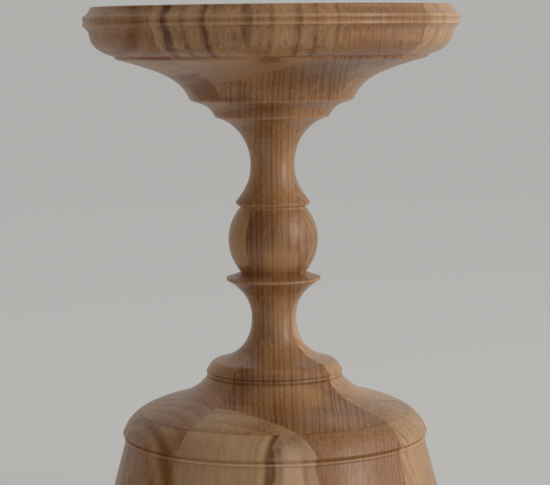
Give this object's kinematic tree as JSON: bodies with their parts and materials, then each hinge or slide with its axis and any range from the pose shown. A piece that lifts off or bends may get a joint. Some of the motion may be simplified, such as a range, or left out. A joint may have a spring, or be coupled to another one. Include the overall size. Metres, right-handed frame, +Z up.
{
  "type": "pricket candle stand",
  "caption": "Turned wooden candle stand glued up from boards, with a flared skirt base, ball and coved stem, moulded dished plate and a short steel spike.",
  "frame": {"origin": "on the floor under the turning axis", "axes": "+Z up along the turning axis, X and Y along the two glue planes that cross on it; the picture looks from between -Y and +X"},
  "size_m": [0.1188, 0.1188, 0.18],
  "materials": {
    "heartwood": "oiled satin",
    "midwood": "oiled satin",
    "sapwood": "oiled satin",
    "dowel_wood": "sawn",
    "steel": "ground"
  },
  "bodies": {
    "root": {"spindle_board_front_right": "heartwood", "spindle_board_rear_right": "sapwood", "spindle_board_rear_left": "midwood", "spindle_board_front_left": "midwood", "spindle_upper_cheek_front_right": "sapwood", "spindle_upper_cheek_rear_right": "sapwood", "spindle_upper_cheek_rear_left": "midwood", "spindle_upper_cheek_front_left": "midwood", "spindle_lower_cheek_front_right": "sapwood", "spindle_lower_cheek_rear_right": "sapwood", "spindle_lower_cheek_rear_left": "midwood", "spindle_lower_cheek_front_left": "midwood", "skirt_board_front_right": "heartwood", "skirt_board_rear_right": "midwood", "skirt_board_rear_left": "heartwood", "skirt_board_front_left": "midwood", "skirt_face_block_front_right": "sapwood", "skirt_face_block_rear_right": "sapwood", "skirt_face_block_rear_left": "midwood", "skirt_face_block_front_left": "heartwood", "skirt_corner_block_front_right": "midwood", "skirt_corner_block_rear_right": "midwood", "skirt_corner_block_rear_left": "sapwood", "skirt_corner_block_front_left": "midwood", "plate_board_front_right": "midwood", "plate_board_rear_right": "heartwood", "plate_board_rear_left": "midwood", "plate_board_front_left": "midwood", "plate_face_block_front_right": "midwood", "plate_face_block_rear_right": "sapwood", "plate_face_block_rear_left": "midwood", "plate_face_block_front_left": "heartwood", "plate_corner_block_front_right": "midwood", "plate_corner_block_rear_right": "midwood", "plate_corner_block_rear_left": "sapwood", "plate_corner_block_front_left": "midwood", "skirt_dowel": "dowel_wood", "plate_dowel": "dowel_wood", "pricket": "steel"}
  },
  "joints": []
}
